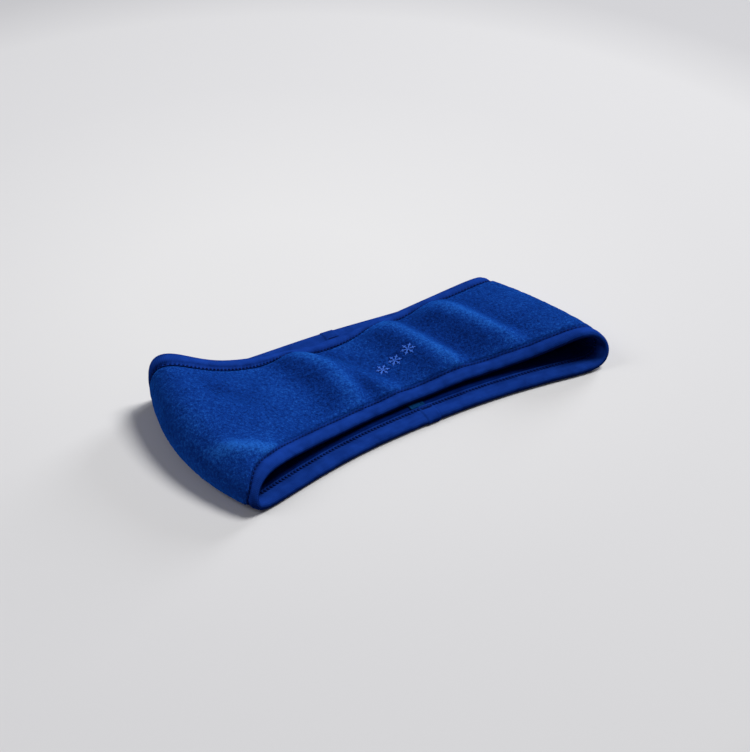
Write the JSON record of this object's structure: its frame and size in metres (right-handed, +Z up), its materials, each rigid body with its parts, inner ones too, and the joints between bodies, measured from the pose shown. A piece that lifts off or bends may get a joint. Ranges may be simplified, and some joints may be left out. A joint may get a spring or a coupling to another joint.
{
  "type": "fleece headband",
  "caption": "Soft fleece headband, a wide ear-covering loop with stretch-bound edges, lying folded flat with its front half over its back half.",
  "frame": {"origin": "on the table, below the middle of the folded band's box", "axes": "+X along the folded band's length towards its right ear fold, +Y from its near bound edge to its far one, +Z up from the table"},
  "size_m": [0.2628, 0.1236, 0.0352],
  "materials": {
    "fleece": "brushed polyester fleece, matt, royal blue",
    "lining_knit": "smooth knit, matt, darker blue",
    "binding_knit": "fine stretch knit with a slight sheen",
    "thread": "polyester sewing thread, dark blue",
    "embroidery_thread": "satin embroidery thread, lavender blue",
    "backing": "non-woven cut-away backing",
    "label_satin": "woven satin tape, blank"
  },
  "bodies": {
    "root": {"outer_fleece": "fleece", "lining": "lining_knit", "near_edge_binding": "binding_knit", "near_outer_topstitch": "thread", "near_inner_topstitch": "thread", "far_edge_binding": "binding_knit", "far_outer_topstitch": "thread", "far_inner_topstitch": "thread", "back_seam_tape": "binding_knit", "back_seam_stitch_left": "thread", "back_seam_stitch_right": "thread", "near_binding_tack": "thread", "far_binding_tack": "thread", "care_label": "label_satin", "embroidery_backing": "backing", "snowflake_left": "embroidery_thread", "snowflake_middle": "embroidery_thread", "snowflake_right": "embroidery_thread"}
  },
  "joints": []
}
